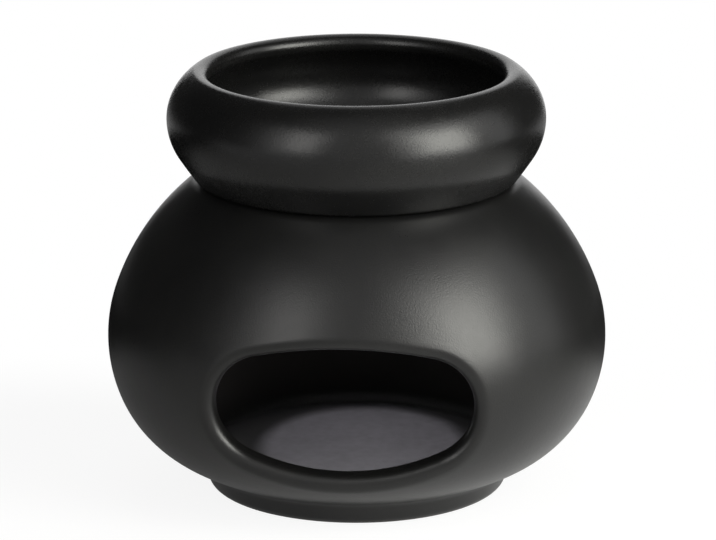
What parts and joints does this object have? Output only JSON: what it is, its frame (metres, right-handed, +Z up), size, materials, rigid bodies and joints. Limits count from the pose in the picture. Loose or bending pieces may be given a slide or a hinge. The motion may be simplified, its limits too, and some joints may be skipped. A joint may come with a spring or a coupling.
{
  "type": "aroma lamp",
  "caption": "Tea-light aroma lamp in black glazed ceramic: a squat hollow globe with an oval window and foot ring, and a lift-off bowl with a rolled lip.",
  "frame": {"origin": "centre of the foot ring's resting plane, on the axis that the stand and the bowl were turned about", "axes": "+Z up along the turning axis, window facing -Y, +X to the right when looking at the window"},
  "size_m": [0.124, 0.1208, 0.1057],
  "materials": {
    "stand_glaze": "satin black glaze",
    "bowl_glaze": "satin black glaze"
  },
  "bodies": {
    "stand": {"burner_body": "stand_glaze"},
    "bowl": {"oil_bowl": "bowl_glaze"}
  },
  "joints": [
    {"name": "bowl_lift", "type": "slide", "parent": "stand", "child": "bowl", "axis": [0, 0, 1], "range_m": [0, 0.06]}
  ]
}
